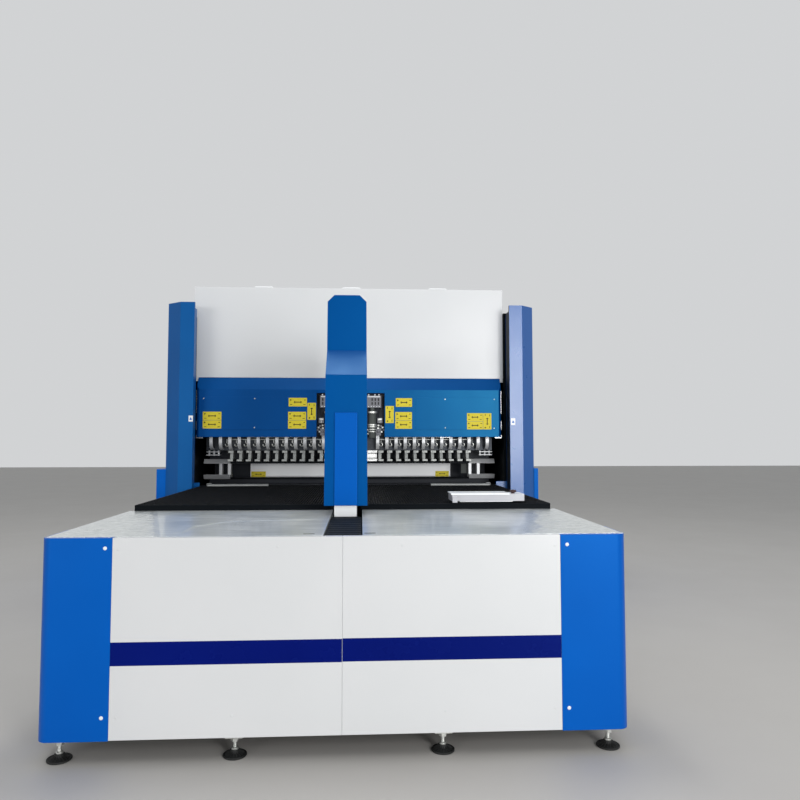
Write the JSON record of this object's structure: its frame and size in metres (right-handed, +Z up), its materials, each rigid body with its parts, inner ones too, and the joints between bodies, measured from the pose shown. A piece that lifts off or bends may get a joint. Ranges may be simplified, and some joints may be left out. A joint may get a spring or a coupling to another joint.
{
  "type": "panel bender",
  "caption": "Panel bending machine: loading table with a slotted brush top, travelling sheet manipulator, clamping press beam and a moving blade holder behind it.",
  "frame": {"origin": "on the floor under the middle of the machine's outline", "axes": "+Z up, +Y from the loading table at the front to the rear panels, +X to the operator's right"},
  "size_m": [3.32, 4.8, 2.8],
  "materials": {
    "blue_paint": "satin powder coat",
    "white_paint": "satin powder coat",
    "frame_paint": "dark machine enamel",
    "bare_steel": "ground steel",
    "dark_steel": "oiled tool steel",
    "brush_black": "bristles",
    "bellows_black": "coated cloth",
    "pad_rubber": "moulded",
    "knob_black": "moulded"
  },
  "bodies": {
    "base": {"corner_cover_left": "blue_paint", "corner_cover_right": "blue_paint", "column_cover_left": "blue_paint", "column_cover_right": "blue_paint", "lower_side_covers": "blue_paint", "upper_side_covers": "blue_paint", "front_panel_left": "white_paint", "front_panel_right": "white_paint", "base_side_panels": "white_paint", "hood": "white_paint", "rear_panels": "white_paint", "lifting_loops": "white_paint", "base_long_rails": "frame_paint", "base_cross_rails": "frame_paint", "base_posts": "frame_paint", "side_frame_left": "frame_paint", "side_frame_right": "frame_paint", "lower_beam": "frame_paint", "upper_crosshead": "frame_paint", "blade_bed": "frame_paint", "press_actuators": "frame_paint", "table_plate_left": "bare_steel", "table_plate_right": "bare_steel", "sheet_support_rails": "bare_steel", "gauge_rail": "bare_steel", "leveling_stems": "bare_steel", "linear_rails": "dark_steel", "feed_magnet_track": "dark_steel", "lower_tool": "dark_steel", "brush_table_left": "brush_black", "brush_table_right": "brush_black", "slot_bellows_front": "bellows_black", "slot_bellows_rear": "bellows_black", "leveling_pads": "pad_rubber"},
    "press_beam": {"press_beam": "frame_paint", "beam_cover_left": "blue_paint", "beam_cover_right": "blue_paint", "beam_end_brackets": "bare_steel", "tool_drives": "bare_steel", "tool_rail": "dark_steel", "tool_hooks": "bare_steel", "centre_tools": "bare_steel", "press_rods": "bare_steel"},
    "left_tools": {"tool_segments_left": "bare_steel"},
    "right_tools": {"tool_segments_right": "bare_steel"},
    "manipulator": {"manipulator_frame": "white_paint", "manipulator_cover": "blue_paint", "access_cover": "blue_paint", "manipulator_carriage": "frame_paint", "feed_coil_unit": "frame_paint"},
    "clamp_ram": {"clamp_ram": "bare_steel"},
    "upper_clamp": {"upper_clamp": "bare_steel"},
    "lower_clamp": {"lower_clamp": "bare_steel"},
    "blade_carriage": {"blade_carriage": "frame_paint"},
    "blade_holder": {"blade_holder": "frame_paint", "bending_blades": "bare_steel", "blade_end_posts": "bare_steel", "blade_cover": "white_paint"},
    "side_gauge": {"side_gauge": "white_paint"},
    "gauge_knob": {"gauge_knob": "knob_black"}
  },
  "joints": [
    {"name": "manipulator_feed", "type": "slide", "parent": "base", "child": "manipulator", "axis": [0, 1, 0], "range_m": [-0.4, 0.55], "deforming": ["slot_bellows_front", "slot_bellows_rear"]},
    {"name": "clamp_press", "type": "slide", "parent": "manipulator", "child": "clamp_ram", "axis": [0, 0, 1], "range_m": [-0.088, 0]},
    {"name": "upper_clamp_turn", "type": "hinge", "parent": "clamp_ram", "child": "upper_clamp", "pos_m": [0, -0.25, 1.122], "axis": [0, 0, 1], "continuous": true},
    {"name": "lower_clamp_turn", "type": "hinge", "parent": "manipulator", "child": "lower_clamp", "pos_m": [0, -0.25, 1], "axis": [0, 0, 1], "continuous": true},
    {"name": "press_beam_lift", "type": "slide", "parent": "base", "child": "press_beam", "axis": [0, 0, 1], "range_m": [-0.196, 0]},
    {"name": "left_tool_shift", "type": "slide", "parent": "press_beam", "child": "left_tools", "axis": [-1, 0, 0], "range_m": [0, 0.06]},
    {"name": "right_tool_shift", "type": "slide", "parent": "press_beam", "child": "right_tools", "axis": [1, 0, 0], "range_m": [0, 0.06]},
    {"name": "blade_carriage_feed", "type": "slide", "parent": "base", "child": "blade_carriage", "axis": [0, 1, 0], "range_m": [0, 0.05]},
    {"name": "blade_holder_lift", "type": "slide", "parent": "blade_carriage", "child": "blade_holder", "axis": [0, 0, 1], "range_m": [-0.11, 0.06]},
    {"name": "side_gauge_slide", "type": "slide", "parent": "base", "child": "side_gauge", "axis": [1, 0, 0], "range_m": [-0.05, 0.05]},
    {"name": "gauge_knob_turn", "type": "hinge", "parent": "side_gauge", "child": "gauge_knob", "pos_m": [1.067, -1.15, 1.09], "axis": [0, 0, 1], "continuous": true}
  ],
  "couplings": [
    {"joint": "upper_clamp_turn", "follows": "lower_clamp_turn", "ratio": 1}
  ]
}
